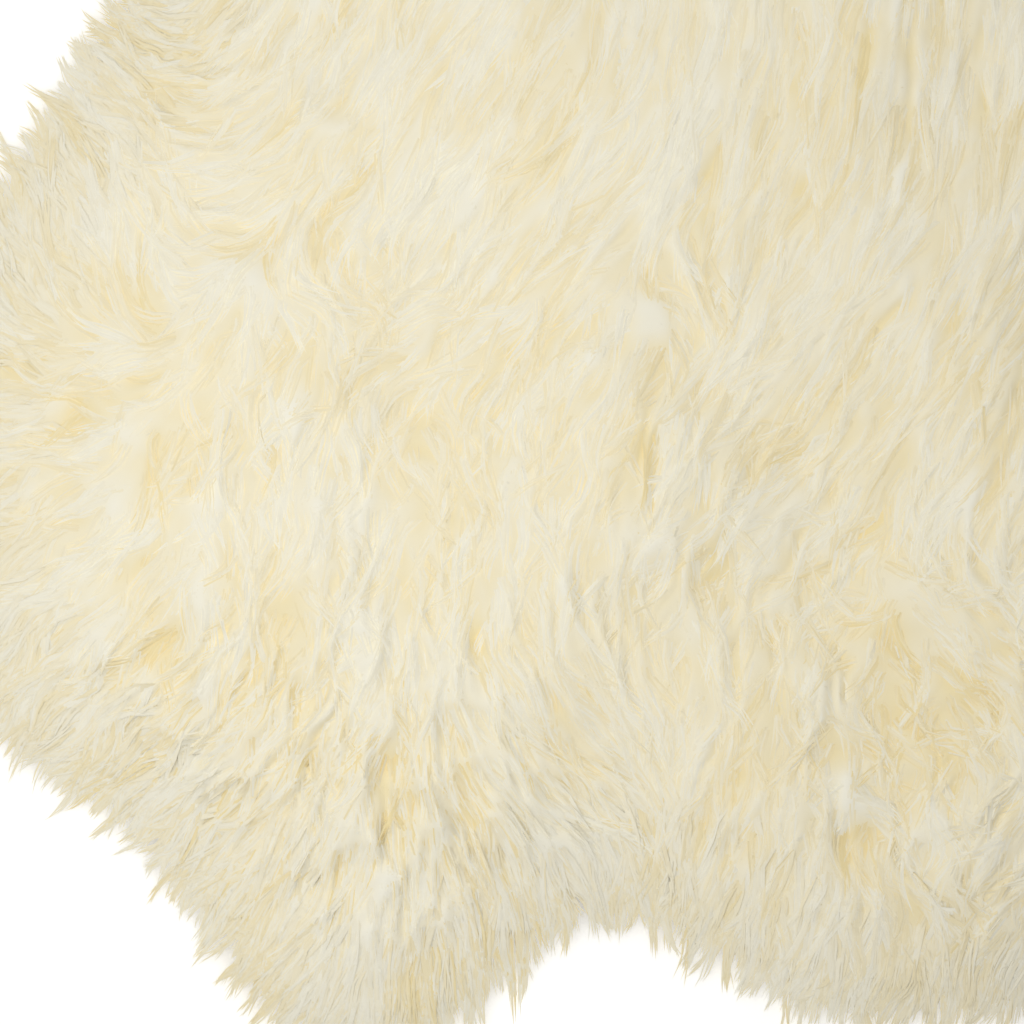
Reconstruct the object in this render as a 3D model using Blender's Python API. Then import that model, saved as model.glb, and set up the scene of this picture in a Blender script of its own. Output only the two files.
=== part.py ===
"""Sheepskin rug: one whole natural pelt with long cream wool, lying flat with its wool side up.

Metres, +Z up. The floor is z = 0 and the origin lies on it, under the middle of the pelt's own box.
+Y runs along the back from the tail to the neck, and +X across it. Skin and wool are one soft body:
a slab that swells from its rim to a deep lumpy middle, with pointed locks that lie out all round it.
"""

import math
import random
from collections import namedtuple

import bmesh
import bpy
from mathutils import Matrix, Vector, noise
from mathutils.geometry import delaunay_2d_cdt
from mathutils.kdtree import KDTree

# --- Driving dimensions, in metres -------------------------------------------------------------

PILE_HEIGHT = 0.043  # the deep wool along the back, before its lumps
RIM_HEIGHT = 0.013  # the wool where the locks leave the slab
RIM_SLOPE = 0.105  # how far in from the rim the wool is at its full height

LOCK_COUNT = 290  # locks of wool round the rim
LOCK_SPREAD = 0.35  # locks are this much longer or shorter than their stretch of rim says
LOCK_LEAN = math.radians(16)  # about the most that neighbouring locks turn aside together
LOCK_STRAY = math.radians(5)  # the most that one lock turns beside its neighbours
LOCK_COMB = 0.45  # how strongly the locks lie towards the tail, beside straight out
LOCK_BOW = 0.0012  # the most that a lock bows to one side

TOP_SPACING = 0.0168  # between points of the wool's surface
SKIN_SPACING = 0.060  # between points of the flat underside
RIM_MARGIN = 0.6  # of a spacing, kept clear between the rim and the first such point

LUMP_HEIGHT = 0.0085  # how far the tufts stand above and below the wool's level
LUMP_ACROSS = 0.075  # from one tuft to the next across the pelt
LUMP_ALONG = 0.105  # and along it, as the wool is combed that way
RUFFLE_HEIGHT = 0.0035  # smaller unevenness on the tufts
RUFFLE_SIZE = 0.034

SIDE_DRIFT = 0.011  # how far the right edge strays from a mirror image of the left
DRIFT_LENGTH = 0.16  # over what length it does so
DRIFT_START = 0.1  # how far from the middle of the back it is in full

RIM_STEPS = 24  # short straight steps in the curve from one named place on the edge to the next

WOOL_COLOUR = (0.86, 0.80, 0.64, 1.0)
WOOL_ROUGHNESS = 0.95
CREASE_ANGLE = math.radians(50)  # edges sharper than this aren't shaded smooth

SEED = 7
DRIFT_LAYERS = (SEED, SEED + 10)  # layers of unevenness, one for each thing that it moves
TUFT_LAYER = SEED + 20
RUFFLE_LAYER = SEED + 30
SWAY_LAYER = SEED + 40

# --- The pelt's edge, from the rump up its left side to the neck --------------------------------
# across and along: where the rim is, beside and along the middle of the back
# reach: how far the locks of that stretch lie out past the rim

Edge = namedtuple("Edge", "place across along reach")

LEFT_EDGE = (
    Edge("rump", 0.000, -0.494, 0.016),
    Edge("rump corner", 0.034, -0.492, 0.016),
    Edge("beside the rump", 0.068, -0.473, 0.015),
    Edge("notch", 0.105, -0.458, 0.014),
    Edge("inside of the hind leg", 0.140, -0.470, 0.020),
    Edge("inner toe", 0.166, -0.494, 0.024),
    Edge("hind leg", 0.196, -0.504, 0.022),
    Edge("outer toe", 0.226, -0.492, 0.020),
    Edge("outside of the hind leg", 0.248, -0.459, 0.019),
    Edge("hock", 0.278, -0.424, 0.018),
    Edge("thigh", 0.316, -0.398, 0.018),
    Edge("lower flank", 0.336, -0.350, 0.018),
    Edge("flank", 0.340, -0.295, 0.018),
    Edge("upper flank", 0.327, -0.240, 0.016),
    Edge("belly", 0.294, -0.181, 0.015),
    Edge("side", 0.258, -0.124, 0.015),
    Edge("waist", 0.238, -0.042, 0.016),
    Edge("ribs", 0.235, 0.058, 0.017),
    Edge("behind the shoulder", 0.248, 0.160, 0.018),
    Edge("shoulder", 0.280, 0.245, 0.019),
    Edge("foreleg", 0.316, 0.315, 0.020),
    Edge("fore toe", 0.321, 0.372, 0.020),
    Edge("inner fore toe", 0.288, 0.412, 0.019),
    Edge("breast", 0.230, 0.416, 0.017),
    Edge("beside the neck", 0.170, 0.434, 0.017),
    Edge("side of the neck", 0.118, 0.474, 0.018),
    Edge("corner of the neck", 0.062, 0.497, 0.018),
    Edge("neck", 0.000, 0.502, 0.018),
)

# --- Partings and pockets, where the wool turns and lies lower ----------------------------------
# each runs from one point to another, across (left is minus) and along; depth and width in metres

Parting = namedtuple("Parting", "place start end depth width")

PARTINGS = (
    Parting("back", (-0.047, 0.110), (-0.045, -0.225), 0.009, 0.016),
    Parting("rump", (-0.022, -0.345), (-0.010, -0.430), 0.008, 0.022),
    Parting("hip whorl", (-0.255, -0.236), (-0.215, -0.222), 0.009, 0.020),
    Parting("inside of the hind leg", (-0.118, -0.432), (-0.096, -0.380), 0.008, 0.020),
    Parting("loin", (0.092, -0.150), (0.060, -0.290), 0.008, 0.020),
    Parting("shoulder whorl", (0.150, 0.250), (0.105, 0.300), 0.009, 0.022),
    Parting("withers", (-0.110, 0.330), (-0.050, 0.270), 0.007, 0.020),
)


def unevenness(x, y, layer):
    """A smooth, natural value between about -1 and 1, one unit of x or y from hill to hollow."""
    return 2.0 * noise.noise(Vector((x, y, layer)))


# --- Outline -------------------------------------------------------------------------------------

Rim = namedtuple("Rim", "point reach")


def mirrored_edge():
    """The rim's stations once round the pelt, against the clock from the rump."""
    right = [Rim(Vector((e.across, e.along)), e.reach) for e in LEFT_EDGE]
    left = [Rim(Vector((-e.across, e.along)), e.reach) for e in LEFT_EDGE[-2:0:-1]]
    return [drifted(station) for station in right] + left


def drifted(station):
    """A station of the right edge, moved a little, so that the sides aren't alike."""
    x, y = station.point / DRIFT_LENGTH
    drift = SIDE_DRIFT * min(1.0, station.point.x / DRIFT_START)
    shift = Vector([unevenness(x, y, layer) for layer in DRIFT_LAYERS]) * drift
    return Rim(station.point + shift, station.reach)


def between(a, b, c, d, t):
    """A smooth curve's value at t from b to c, where a and d are the values before and after."""
    return 0.5 * (
        2.0 * b
        + (c - a) * t
        + (2.0 * a - 5.0 * b + 4.0 * c - d) * t * t
        + (3.0 * b - a - 3.0 * c + d) * t * t * t
    )


def fine_rim(stations):
    """The closed curve through the stations, in short steps."""
    count = len(stations)
    curve = []
    for i in range(count):
        near = [stations[(i + k) % count] for k in (-1, 0, 1, 2)]
        for step in range(RIM_STEPS):
            t = step / RIM_STEPS
            point = between(*[station.point for station in near], t)
            reach = between(*[station.reach for station in near], t)
            curve.append(Rim(point, reach))
    return curve


def even_rim(stations, count):
    """The same curve as count stations at one even pitch."""
    curve = fine_rim(stations)
    curve.append(curve[0])
    lengths = [0.0]
    for here, after in zip(curve, curve[1:]):
        lengths.append(lengths[-1] + (after.point - here.point).length)
    rim = []
    place = 0
    for i in range(count):
        wanted = lengths[-1] * i / count
        while lengths[place + 1] < wanted:
            place += 1
        t = (wanted - lengths[place]) / (lengths[place + 1] - lengths[place])
        here, after = curve[place], curve[place + 1]
        point = here.point.lerp(after.point, t)
        rim.append(Rim(point, here.reach + (after.reach - here.reach) * t))
    return rim


# --- The wool's height -------------------------------------------------------------------------


def rim_tree(rim):
    """A tree that finds the rim's nearest station to a point."""
    tree = KDTree(len(rim))
    for i, station in enumerate(rim):
        tree.insert(station.point.to_3d(), i)
    tree.balance()
    return tree


def parting_drop(x, y):
    """How much lower the wool lies at a point because of the partings near it."""
    drop = 0.0
    for parting in PARTINGS:
        start = Vector(parting.start)
        run = Vector(parting.end) - start
        along = (Vector((x, y)) - start).dot(run) / run.length_squared
        nearest = start + run * min(1.0, max(0.0, along))
        away = (Vector((x, y)) - nearest).length / parting.width
        drop += parting.depth * math.exp(-away * away)
    return drop


def wool_height(x, y, from_rim):
    """The height of the wool's surface at a point that far in from the rim."""
    rise = math.sin(0.5 * math.pi * min(1.0, from_rim / RIM_SLOPE))
    height = RIM_HEIGHT + (PILE_HEIGHT - RIM_HEIGHT) * rise
    tuft = LUMP_HEIGHT * unevenness(x / LUMP_ACROSS, y / LUMP_ALONG, TUFT_LAYER)
    ruffle = RUFFLE_HEIGHT * unevenness(x / RUFFLE_SIZE, y / RUFFLE_SIZE, RUFFLE_LAYER)
    return height + rise * (tuft + ruffle - parting_drop(x, y))


def floor_height(x, y, from_rim):
    """The height of the underside, which is flat on the floor all over."""
    return 0.0


# --- The slab ------------------------------------------------------------------------------------


def hexagonal_points(rim, tree, spacing):
    """Points in an even triangular pattern over the pelt, clear of its rim."""
    reach_x = max(abs(station.point.x) for station in rim)
    reach_y = max(abs(station.point.y) for station in rim)
    row_height = spacing * math.sqrt(0.75)
    rows = int(reach_y / row_height) + 1
    columns = int(reach_x / spacing) + 1
    points = []
    for row in range(-rows, rows + 1):
        shift = 0.5 if row % 2 else 0.0
        for column in range(-columns, columns + 1):
            point = Vector(((column + shift) * spacing, row * row_height))
            _, index, away = tree.find(point.to_3d())
            if away > RIM_MARGIN * spacing and inside(rim, index, point):
                points.append(point)
    return points


def inside(rim, index, point):
    """True if a point is within the rim, which runs against the clock. Its station is nearest."""
    before = rim[index - 1].point
    after = rim[(index + 1) % len(rim)].point
    ahead = after - before
    return ahead.cross(point - rim[index].point) > 0.0


def flat_triangles(rim, points):
    """(points, triangles) that fill the rim's outline, with the rim's own points first."""
    outline = [station.point for station in rim]
    edges = [(i, (i + 1) % len(outline)) for i in range(len(outline))]
    filled = delaunay_2d_cdt(outline + points, edges, [], 1, 1e-7)
    return filled[0], filled[2]


def add_surface(bm, rim, spacing, height_at, upward):
    """Adds one face of the slab, and returns its vertices along the rim."""
    tree = rim_tree(rim)
    points, triangles = flat_triangles(rim, hexagonal_points(rim, tree, spacing))
    verts = []
    for i, point in enumerate(points):
        from_rim = 0.0 if i < len(rim) else tree.find(point.to_3d())[2]
        verts.append(bm.verts.new((point.x, point.y, height_at(point.x, point.y, from_rim))))
    for corners in triangles:
        ordered = corners if upward else tuple(reversed(corners))
        bm.faces.new([verts[i] for i in ordered])
    return verts[: len(rim)]


def add_walls(bm, top, bottom):
    """Adds the low wall between the two faces of the slab, one quad for each lock."""
    count = len(top)
    walls = []
    for i in range(count):
        j = (i + 1) % count
        walls.append(bm.faces.new((bottom[i], bottom[j], top[j], top[i])))
    return walls


# --- The locks -----------------------------------------------------------------------------------

# a lock's sections between its root and its point: how far out each is, as a share of its reach,
# its width and height as shares of the root's, and its share of the lock's sideways bow
Section = namedtuple("Section", "out width height bow")

LOCK_SECTIONS = (
    Section(0.38, 0.64, 0.74, 0.8),
    Section(0.72, 0.36, 0.46, 1.0),
)

Lock = namedtuple("Lock", "root ahead across reach width bow")


def lock_at(here, after, rng):
    """The lock that grows from the rim between two stations."""
    run = after.point - here.point
    straight_out = Vector((run.y, -run.x)).normalized()
    tailward = Vector((0.0, -LOCK_COMB * abs(straight_out.x)))
    middle = here.point.lerp(after.point, 0.5)
    sway = unevenness(middle.x / LUMP_ACROSS, middle.y / LUMP_ACROSS, SWAY_LAYER)
    lean = LOCK_LEAN * sway + rng.uniform(-LOCK_STRAY, LOCK_STRAY)
    ahead = Matrix.Rotation(lean, 2) @ (straight_out + tailward).normalized()
    return Lock(
        root=middle.to_3d(),
        ahead=ahead.to_3d(),
        across=Vector((-ahead.y, ahead.x, 0.0)),
        reach=here.reach * rng.uniform(1.0 - LOCK_SPREAD, 1.0 + LOCK_SPREAD),
        width=run.length,
        bow=rng.uniform(-LOCK_BOW, LOCK_BOW),
    )


def add_lock(bm, wall, lock):
    """Draws one quad of the wall out into a pointed lock that rests on the floor."""
    face = wall
    for section in LOCK_SECTIONS:
        face = bmesh.ops.extrude_discrete_faces(bm, faces=[face])["faces"][0]
        centre = lock.root + lock.ahead * (lock.reach * section.out)
        centre += lock.across * (lock.bow * section.bow)
        half_width = 0.5 * lock.width * section.width
        for vert in face.verts:
            side = 1.0 if (vert.co - lock.root).dot(lock.across) > 0.0 else -1.0
            height = section.height * RIM_HEIGHT if vert.co.z > 0.0 else 0.0
            vert.co = centre + lock.across * (side * half_width)
            vert.co.z = height
    face = bmesh.ops.extrude_discrete_faces(bm, faces=[face])["faces"][0]
    tip = lock.root + lock.ahead * lock.reach
    bmesh.ops.pointmerge(bm, verts=list(face.verts), merge_co=tip)


# --- The pelt ------------------------------------------------------------------------------------


def centre_on_floor(bm):
    """Moves the pelt so that the middle of its box is over the origin."""
    across = [vert.co.x for vert in bm.verts]
    along = [vert.co.y for vert in bm.verts]
    middle = Vector((min(across) + max(across), min(along) + max(along), 0.0)) * 0.5
    bmesh.ops.translate(bm, verts=bm.verts, vec=-middle)


def wool_material():
    """Natural cream wool, with no gloss."""
    material = bpy.data.materials.new("cream_wool")
    material.use_nodes = True
    shader = material.node_tree.nodes["Principled BSDF"]
    shader.inputs["Base Color"].default_value = WOOL_COLOUR
    shader.inputs["Roughness"].default_value = WOOL_ROUGHNESS
    shader.inputs["Metallic"].default_value = 0.0
    material.diffuse_color = WOOL_COLOUR
    return material


def build_pelt():
    """The whole pelt as one closed body."""
    rng = random.Random(SEED)
    rim = even_rim(mirrored_edge(), LOCK_COUNT)
    bm = bmesh.new()
    top = add_surface(bm, rim, TOP_SPACING, wool_height, upward=True)
    bottom = add_surface(bm, rim, SKIN_SPACING, floor_height, upward=False)
    walls = add_walls(bm, top, bottom)
    for i, wall in enumerate(walls):
        add_lock(bm, wall, lock_at(rim[i], rim[(i + 1) % LOCK_COUNT], rng))
    centre_on_floor(bm)

    mesh = bpy.data.meshes.new("pelt")
    bm.to_mesh(mesh)
    bm.free()
    mesh.shade_smooth()
    mesh.set_sharp_from_angle(angle=CREASE_ANGLE)
    mesh.materials.append(wool_material())
    pelt = bpy.data.objects.new("pelt", mesh)
    bpy.context.collection.objects.link(pelt)
    return pelt


def clear_scene():
    """Takes the startup scene's objects away."""
    for obj in list(bpy.data.objects):
        bpy.data.objects.remove(obj, do_unlink=True)


clear_scene()
build_pelt()
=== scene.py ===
"""Sheepskin rug: how the pelt looks. Metres, +Z up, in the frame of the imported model.

The wool has a soft surface with ridges that run along its lie. Fine strands lie on it in locks, each
of which starts in the wool, follows its lie and ends in a point. Near the rim the locks have broad
bodies of their own, and a fringe comes down to the floor. SWEEPS says which way the wool lies at named
places, POCKETS where it is warmer or whiter than elsewhere, and STRENGTHS where its ridges are higher.
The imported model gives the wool's depth everywhere.
"""

import math
from collections import namedtuple

import bpy
import numpy as np
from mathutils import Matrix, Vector
from mathutils.bvhtree import BVHTree
from mathutils.kdtree import KDTree


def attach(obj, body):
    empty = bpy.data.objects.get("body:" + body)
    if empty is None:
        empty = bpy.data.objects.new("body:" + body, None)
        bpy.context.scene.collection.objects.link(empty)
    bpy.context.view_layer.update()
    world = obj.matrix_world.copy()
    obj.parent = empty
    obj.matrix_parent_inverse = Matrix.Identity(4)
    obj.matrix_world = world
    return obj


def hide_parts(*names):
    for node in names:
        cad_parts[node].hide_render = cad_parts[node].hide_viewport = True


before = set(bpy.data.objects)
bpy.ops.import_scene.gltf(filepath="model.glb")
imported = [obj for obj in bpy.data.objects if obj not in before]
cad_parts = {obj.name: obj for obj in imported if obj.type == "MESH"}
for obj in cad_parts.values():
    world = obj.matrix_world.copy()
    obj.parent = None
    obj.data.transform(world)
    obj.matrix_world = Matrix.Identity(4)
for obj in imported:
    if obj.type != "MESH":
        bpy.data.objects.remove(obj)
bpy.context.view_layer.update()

# --- Sizes, in metres ---

SKIN_THICKNESS = 0.0025
RIM_HEIGHT = 0.013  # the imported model's wool where its slab ends and its rim locks begin
GRID_CELL = 0.003  # of the grids that hold the wool's depth and the way in from the rim
GRID_MARGIN = 0.03  # how far they reach out past the pelt
FINE_CELL = 0.0012  # of the grids that hold the ridges, and of the surface in the near quarter
FAR_CELL = 0.0034  # of the surface elsewhere
HIDE_CELL = 0.009
HIDE_MARGIN = 0.004  # how far in from the rim the hide ends

LUMP_HEIGHT = 0.0004  # of the soft lumps in the wool's surface
LUMP_SIZE = 0.017
POCKET_DEPTH = 0.002  # of a pocket with a warmth of 1
RIDGE_HEIGHT = 0.00050  # of the ridges that run along the lie of the wool
RIDGE_LENGTH = 0.026
RIDGE_LIGHT_AND_SHADE = 0.17  # how much warmer the wool is painted between them and whiter on them: painted shade in the valleys, painted light on the crests
RIDGE_END = 0.2  # the share of a ridge's length in which it falls again
MASS_MARGIN = 0.001  # how far in from the rim the surface ends
MASS_EDGE = 0.012  # the width in which it rises to its full height
MASS_GAP = 0.00008  # between it and the strands that lie on it
# the surface is painted warmer than the locks on it: partly the deeper wool's own colour, partly
# painted warm shade where it shows between them
MASS_WARMTH_AND_SHADE = 0.45
MASS_PIECES = 3
SOFTENED = 0.55  # the share of the wool's slope that its shading follows, as light spreads in wool

# layers of locks: broad ones that fill the rim, the locks that show everywhere, and a fringe
# spacing: between the middles of locks in the near quarter; share: of them that are kept far from it,
# each one wider; within: how far in from the rim the layer reaches; reach and wisp: how far its locks
# lie out past the rim, and how much that varies; height and lift: above the wool's surface, and how
# much that varies; warmth: from 0, nearly white, to 1, deep cream; strands: fine ones on each lock in
# the near quarter
Layer = namedtuple("Layer", "spacing share within width length reach wisp height lift warmth strands")

# FILL is painted warmer than CREST: partly the deeper wool's own colour, partly painted warm shade
# where the fill shows between the crest's locks
FILL = Layer(0.0031, 0.40, 0.036, 0.0030, 0.040, 0.003, 0.003, -0.0003, 0.0002, 0.40, 0)
CREST = Layer(0.0056, 0.36, 1.000, 0.0040, 0.050, 0.009, 0.007, 0.0000, 0.00009, 0.32, 7.5)
FRINGE = Layer(0.0036, 0.40, 0.016, 0.0024, 0.034, 0.011, 0.007, 0.0000, 0.0004, 0.32, 5)

LONGEST_REACH = 0.024
LEAST_HEIGHT = 0.0012  # of a lock's middle line above the floor
FRINGE_FALL = 0.019  # how far out from the rim the wool comes down to the floor
ROOT_MARGIN = 0.0015  # how far in from the rim a lock starts at least
MIDDLE_REACH = 0.6  # the share of a lock's reach that its middle may lie out past the rim
LOCK_STRAY = 0.6  # how far the middles stray from even rows, in spacings
SHARPEST_TURN = math.radians(24)  # of a lock from one section to the next
WAVE_LENGTH = 0.013  # of the waves that neighbouring locks share
WAVE_LEAST = 0.10  # how far the waves turn combed wool, in radians
WAVE_MOST = 0.60  # and tangled wool
ROOT_SHARE = 0.75  # of the wool's depth, where a lock's first section lies
PROUD_SHARE = 0.20  # of the locks, which lie a little higher and are painted whiter: painted light on the raised locks
PROUD_HEIGHT = 0.00006
PROUD_PAINTED_LIGHT = 0.18
LOCK_TILT = 0.13  # how far the light on a lock's sides differs, as for a round bundle
RIM_BAND = 0.03  # at the rim, where locks have bodies and lumps and ridges are lower
DEEP_WOOL = 0.03  # the depth at which locks differ fully in height
BODY_WIDTH = 0.60  # of a crest lock's body, as a share of the lock's width
BODY_ROLL = 0.10  # how far the bodies are turned about their length, in radians
TUFT_SPACING = 0.021  # locks draw together in tufts
WISP_SPACING = 0.0065  # and the fringe in smaller ones
TUFT_STRAY = 0.5  # how far their places stray from even rows, in spacings
TUFT_STRETCH = 0.4  # how much less a tuft's length counts than its width
TUFT_GATHER = 0.65  # the share of the way to the tuft's middle line that a lock's tip comes
TUFT_LIFT = 0.00005  # how much the tufts vary in height
TUFT_WARMTH = 0.06  # and in tone

STRAND_WIDTH = 0.00072
STRANDS_FAR = 0.32  # the share of the strands on a lock far from the near quarter
STRAND_STRAY = 0.0010  # how far their tips stray to the side
STRAND_WAVE = 0.00035
STRAND_RISE = (0.00001, 0.00007)  # above the wool's surface
STRAND_ROLL = 0.10  # how far they are turned about their length, in radians
STRAND_LEAST_VARIETY = 0.06  # how much their tones differ where the ridges are low
STRAND_VARIETY = 0.14  # and how much more where they are high
BRIGHT_SHARE = 0.15  # of the strands, which are painted whiter: partly their own whiter tone, partly painted highlights
BRIGHT_PAINTED_LIGHT = 0.15
STRAND_PIECES = 4  # of the crest
TONES = 16  # steps of warmth from nearly white to deep cream
TONE_CHANCE = 0.04  # how much locks and strands differ in tone by chance
WHITE_WOOL = (0.945, 0.925, 0.810)
CREAM_WOOL = (0.915, 0.795, 0.475)
SEED = 11

# a lock's sections, evenly spaced from its root to its point: the share of the way up to the wool's
# surface that each has come, and its share of the lock's width
Section = namedtuple("Section", "rise width")

SECTIONS = (
    Section(0.00, 0.70),
    Section(0.74, 0.95),
    Section(0.95, 1.00),
    Section(0.99, 0.96),
    Section(1.00, 0.82),
    Section(1.00, 0.50),
    Section(0.99, 0.00),
)
PLACES = np.linspace(0.0, 1.0, len(SECTIONS))
MIDDLE = 3  # the section that is spread evenly over the pelt
VISIBLE = 4  # the section about which a lock shows most

# the points along a strand: the share of its length before each, and of its width
StrandPoint = namedtuple("StrandPoint", "along width")

STRAND_POINTS = (
    StrandPoint(0.20, 0.60),
    StrandPoint(0.37, 0.95),
    StrandPoint(0.54, 1.00),
    StrandPoint(0.70, 0.95),
    StrandPoint(0.86, 0.70),
    StrandPoint(1.00, 0.00),
)
STRAND_MIDDLE = 2

# --- The view ---

VIEW_CENTRE = (-0.1398, -0.3242)  # straight under the camera
VIEW_WIDTH = 0.3584
VIEW_LEVEL = 0.030  # the height at which the view is that wide
CAMERA_HEIGHT = 2.6
SENSOR = 36.0  # millimetres
NEAR_REACH = 0.53 * VIEW_WIDTH  # how far the near quarter reaches from the view's centre
NEAR_FADE = 0.11  # the width in which the wool beyond it becomes coarser

# --- The lie of the wool ---
# heading: the way the wool points, in degrees against the clock from +X
# size: how far round the place it holds; curl: from 0, combed smooth, to 1, tangled
Sweep = namedtuple("Sweep", "place x y heading size curl")

SWEEPS = (
    Sweep("upper flank rim", -0.305, -0.161, 150, 0.025, 0.3),
    Sweep("upper flank", -0.279, -0.173, 128, 0.019, 0.3),
    Sweep("hip fan, upper", -0.298, -0.215, 110, 0.028, 0.3),
    Sweep("hip fan, inner", -0.267, -0.229, 95, 0.016, 0.5),
    Sweep("hip turn", -0.251, -0.176, 160, 0.012, 0.8),
    Sweep("hip fan, level", -0.305, -0.292, 178, 0.021, 0.6),
    Sweep("hip fan, lower", -0.303, -0.334, -158, 0.023, 0.5),
    Sweep("hip tuft", -0.275, -0.280, 176, 0.012, 0.9),
    Sweep("flank rim", -0.305, -0.369, -134, 0.025, 0.3),
    Sweep("thigh", -0.280, -0.400, -138, 0.026, 0.4),
    Sweep("thigh, inner", -0.244, -0.414, -146, 0.021, 0.5),
    Sweep("shank", -0.260, -0.446, -130, 0.021, 0.2),
    Sweep("shank, low", -0.226, -0.467, -127, 0.021, 0.2),
    Sweep("hip tuft, below", -0.254, -0.306, -98, 0.016, 0.7),
    Sweep("haunch", -0.217, -0.320, -98, 0.028, 0.8),
    Sweep("haunch, low", -0.214, -0.362, -100, 0.028, 0.7),
    Sweep("haunch, outer", -0.267, -0.355, -112, 0.017, 0.5),
    Sweep("stifle", -0.200, -0.397, -112, 0.019, 0.6),
    Sweep("leg", -0.197, -0.446, -102, 0.021, 0.1),
    Sweep("leg, low", -0.165, -0.477, -88, 0.021, 0.0),
    Sweep("leg fan", -0.151, -0.425, -58, 0.021, 0.1),
    Sweep("leg fan, far", -0.109, -0.425, -34, 0.017, 0.2),
    Sweep("leg fan, high", -0.127, -0.386, -52, 0.019, 0.3),
    Sweep("leg fan, top", -0.162, -0.362, -84, 0.021, 0.4),
    Sweep("notch", -0.119, -0.460, -80, 0.014, 0.1),
    Sweep("notch, far", -0.077, -0.446, -104, 0.017, 0.3),
    Sweep("rump edge", -0.042, -0.460, -106, 0.021, 0.3),
    Sweep("rump side", -0.060, -0.372, -84, 0.019, 0.7),
    Sweep("rump side, low", -0.067, -0.414, -110, 0.017, 0.5),
    Sweep("rump curl", -0.018, -0.358, -150, 0.011, 1.0),
    Sweep("rump curl, far", 0.007, -0.351, -14, 0.013, 1.0),
    Sweep("rump", -0.018, -0.397, -86, 0.017, 0.9),
    Sweep("rump, far", 0.017, -0.393, -50, 0.016, 1.0),
    Sweep("rump, low", -0.008, -0.432, -76, 0.016, 0.9),
    Sweep("rump swirl", 0.007, -0.458, -12, 0.011, 1.0),
    Sweep("rump edge, far", 0.028, -0.442, -134, 0.016, 0.7),
    Sweep("tail", 0.007, -0.488, -102, 0.021, 0.3),
    Sweep("waist", -0.225, -0.159, -116, 0.025, 0.3),
    Sweep("waist, back", -0.179, -0.173, -108, 0.028, 0.2),
    Sweep("side, back", -0.130, -0.183, -125, 0.028, 0.2),
    Sweep("side, inner", -0.097, -0.159, -84, 0.016, 0.2),
    Sweep("back", -0.046, -0.166, -100, 0.032, 0.1),
    Sweep("back, far", 0.017, -0.162, -94, 0.032, 0.1),
    Sweep("hip whorl, above", -0.217, -0.203, -143, 0.017, 0.4),
    Sweep("hip whorl", -0.242, -0.224, -178, 0.012, 0.9),
    Sweep("hip whorl, below", -0.237, -0.253, -95, 0.012, 0.8),
    Sweep("hip whorl, beside", -0.205, -0.243, -28, 0.012, 0.9),
    Sweep("hip whorl, far", -0.172, -0.267, -157, 0.014, 0.8),
    Sweep("loin curl", -0.160, -0.301, -20, 0.011, 1.0),
    Sweep("loin", -0.151, -0.225, -122, 0.021, 0.3),
    Sweep("loin, inner", -0.113, -0.225, -142, 0.017, 0.4),
    Sweep("loin turn", -0.084, -0.245, -48, 0.011, 0.9),
    Sweep("loin, low", -0.123, -0.278, -118, 0.021, 0.5),
    Sweep("belly", -0.123, -0.320, -102, 0.028, 0.6),
    Sweep("croup, side", -0.077, -0.334, -122, 0.019, 0.7),
    Sweep("croup, turn", -0.046, -0.313, -140, 0.014, 0.7),
    Sweep("croup", -0.011, -0.250, -124, 0.032, 0.2),
    Sweep("croup, low", 0.017, -0.302, -117, 0.028, 0.4),
)
SPREAD_FROM = 0.05  # beyond the sweeps the wool is combed towards the tail and away from this line
SPREAD = 3.2  # how fast it turns outwards, for each metre from that line
COMBED_CURL = 0.45
WANDER = math.radians(38)  # how far the wool there strays from that
WANDER_LENGTH = 0.07
COMBED_WEIGHT = 0.06  # of that lie, against 1 for a sweep at its own place
RIM_PULL = 2.5  # how strongly it turns outwards at the rim
RIM_PULL_WIDTH = 0.07


# --- The wool's colour and ridges ---
# where locks part and the wool under them shows, painted warmer: partly that wool's own deeper cream,
# partly painted warm shade in the gap; or, where warmth is less than 0, where a tuft is whiter than
# the rest; size: how far round the place it holds
Pocket = namedtuple("Pocket", "place x y size warmth")

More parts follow.
